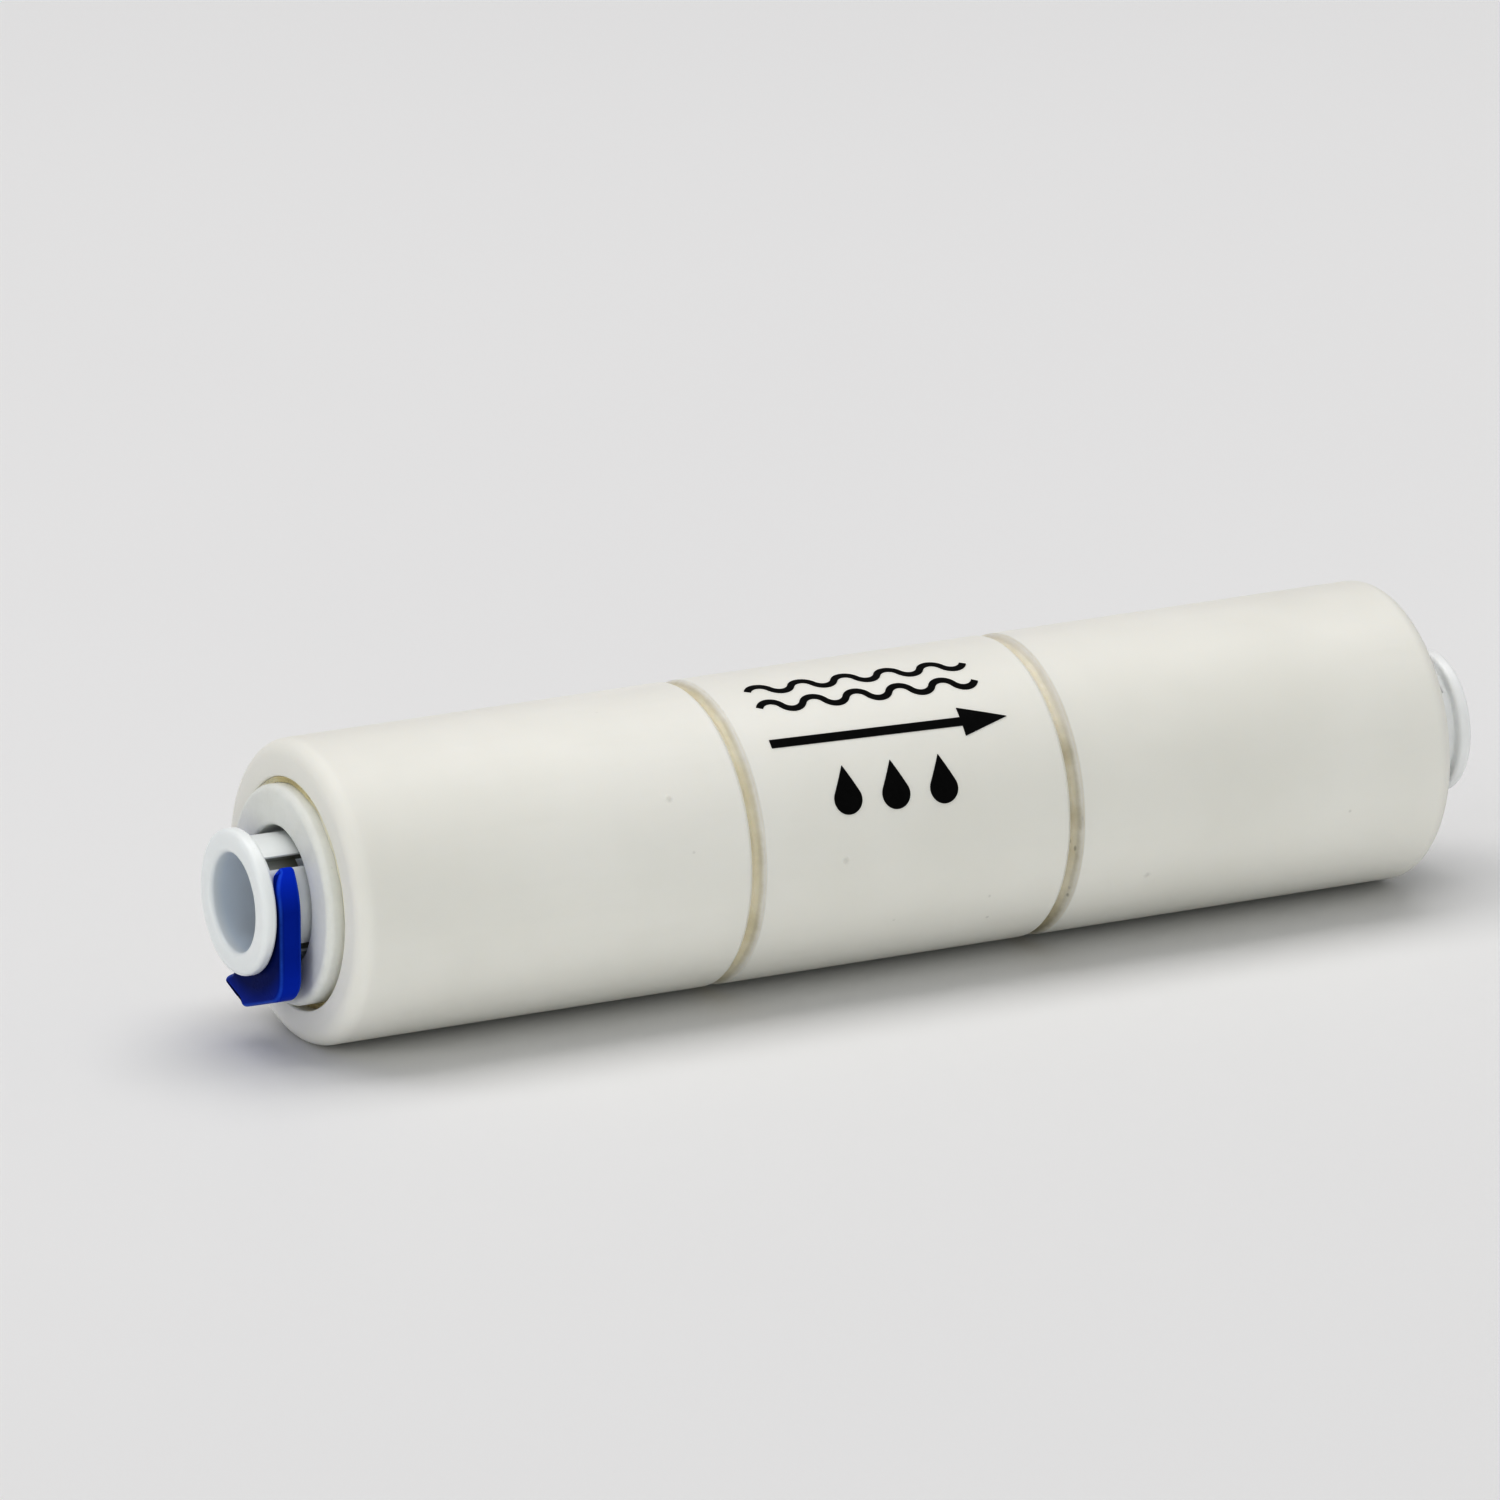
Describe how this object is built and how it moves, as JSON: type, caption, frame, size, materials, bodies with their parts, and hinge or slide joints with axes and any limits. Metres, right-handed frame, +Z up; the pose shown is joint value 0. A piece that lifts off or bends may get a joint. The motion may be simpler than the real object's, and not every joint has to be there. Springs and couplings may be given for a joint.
{
  "type": "inline flow restrictor",
  "caption": "White plastic inline flow restrictor with a push-fit collet at each end, a blue lock clip at the inlet and a printed flow arrow.",
  "frame": {"origin": "centre of the barrel, on the flow axis", "axes": "+X is the way the water flows, +Z up, the arrow faces -Y and up"},
  "size_m": [0.0892, 0.02, 0.02],
  "materials": {
    "barrel": "satin ivory moulded plastic",
    "seam_bond": "translucent tan adhesive",
    "retainer": "satin white moulded plastic",
    "retainer_bond": "translucent yellowish adhesive",
    "collet": "cool white acetal",
    "teeth": "stainless steel",
    "clip": "royal blue moulded plastic",
    "washer": "white plastic",
    "seal": "black rubber",
    "core": "natural plastic",
    "mesh": "stainless screen",
    "ink": "black pad print"
  },
  "bodies": {
    "body": {"centre_body": "barrel", "inlet_end_cap": "barrel", "outlet_end_cap": "barrel", "inlet_seam_bond": "seam_bond", "outlet_seam_bond": "seam_bond", "inlet_retainer": "retainer", "outlet_retainer": "retainer", "inlet_retainer_bond": "retainer_bond", "outlet_retainer_bond": "retainer_bond", "inlet_tube_seal": "seal", "outlet_tube_seal": "seal", "inlet_body_seal": "seal", "outlet_body_seal": "seal", "restrictor_core": "core", "strainer_frame": "core", "strainer_mesh": "mesh", "flow_mark": "ink"},
    "inlet_turn": {"inlet_washer": "washer"},
    "inlet_collet": {"inlet_collet": "collet", "inlet_collet_teeth": "teeth"},
    "clip": {"lock_clip": "clip"},
    "outlet_turn": {"outlet_washer": "washer"},
    "outlet_collet": {"outlet_collet": "collet", "outlet_collet_teeth": "teeth"}
  },
  "joints": [
    {"name": "inlet_collet_turn", "type": "hinge", "parent": "body", "child": "inlet_turn", "pos_m": [-0.0306, 0, 0], "axis": [1, 0, 0], "continuous": true},
    {"name": "inlet_collet_push", "type": "slide", "parent": "inlet_turn", "child": "inlet_collet", "axis": [1, 0, 0], "range_m": [0, 0.0007]},
    {"name": "clip_pull", "type": "slide", "parent": "inlet_collet", "child": "clip", "axis": [0, 0.0174, -0.9998], "range_m": [0, 0.012], "deforming": ["lock_clip"]},
    {"name": "outlet_collet_turn", "type": "hinge", "parent": "body", "child": "outlet_turn", "pos_m": [0.0306, 0, 0], "axis": [1, 0, 0], "continuous": true},
    {"name": "outlet_collet_push", "type": "slide", "parent": "outlet_turn", "child": "outlet_collet", "axis": [-1, 0, 0], "range_m": [0, 0.002]}
  ]
}
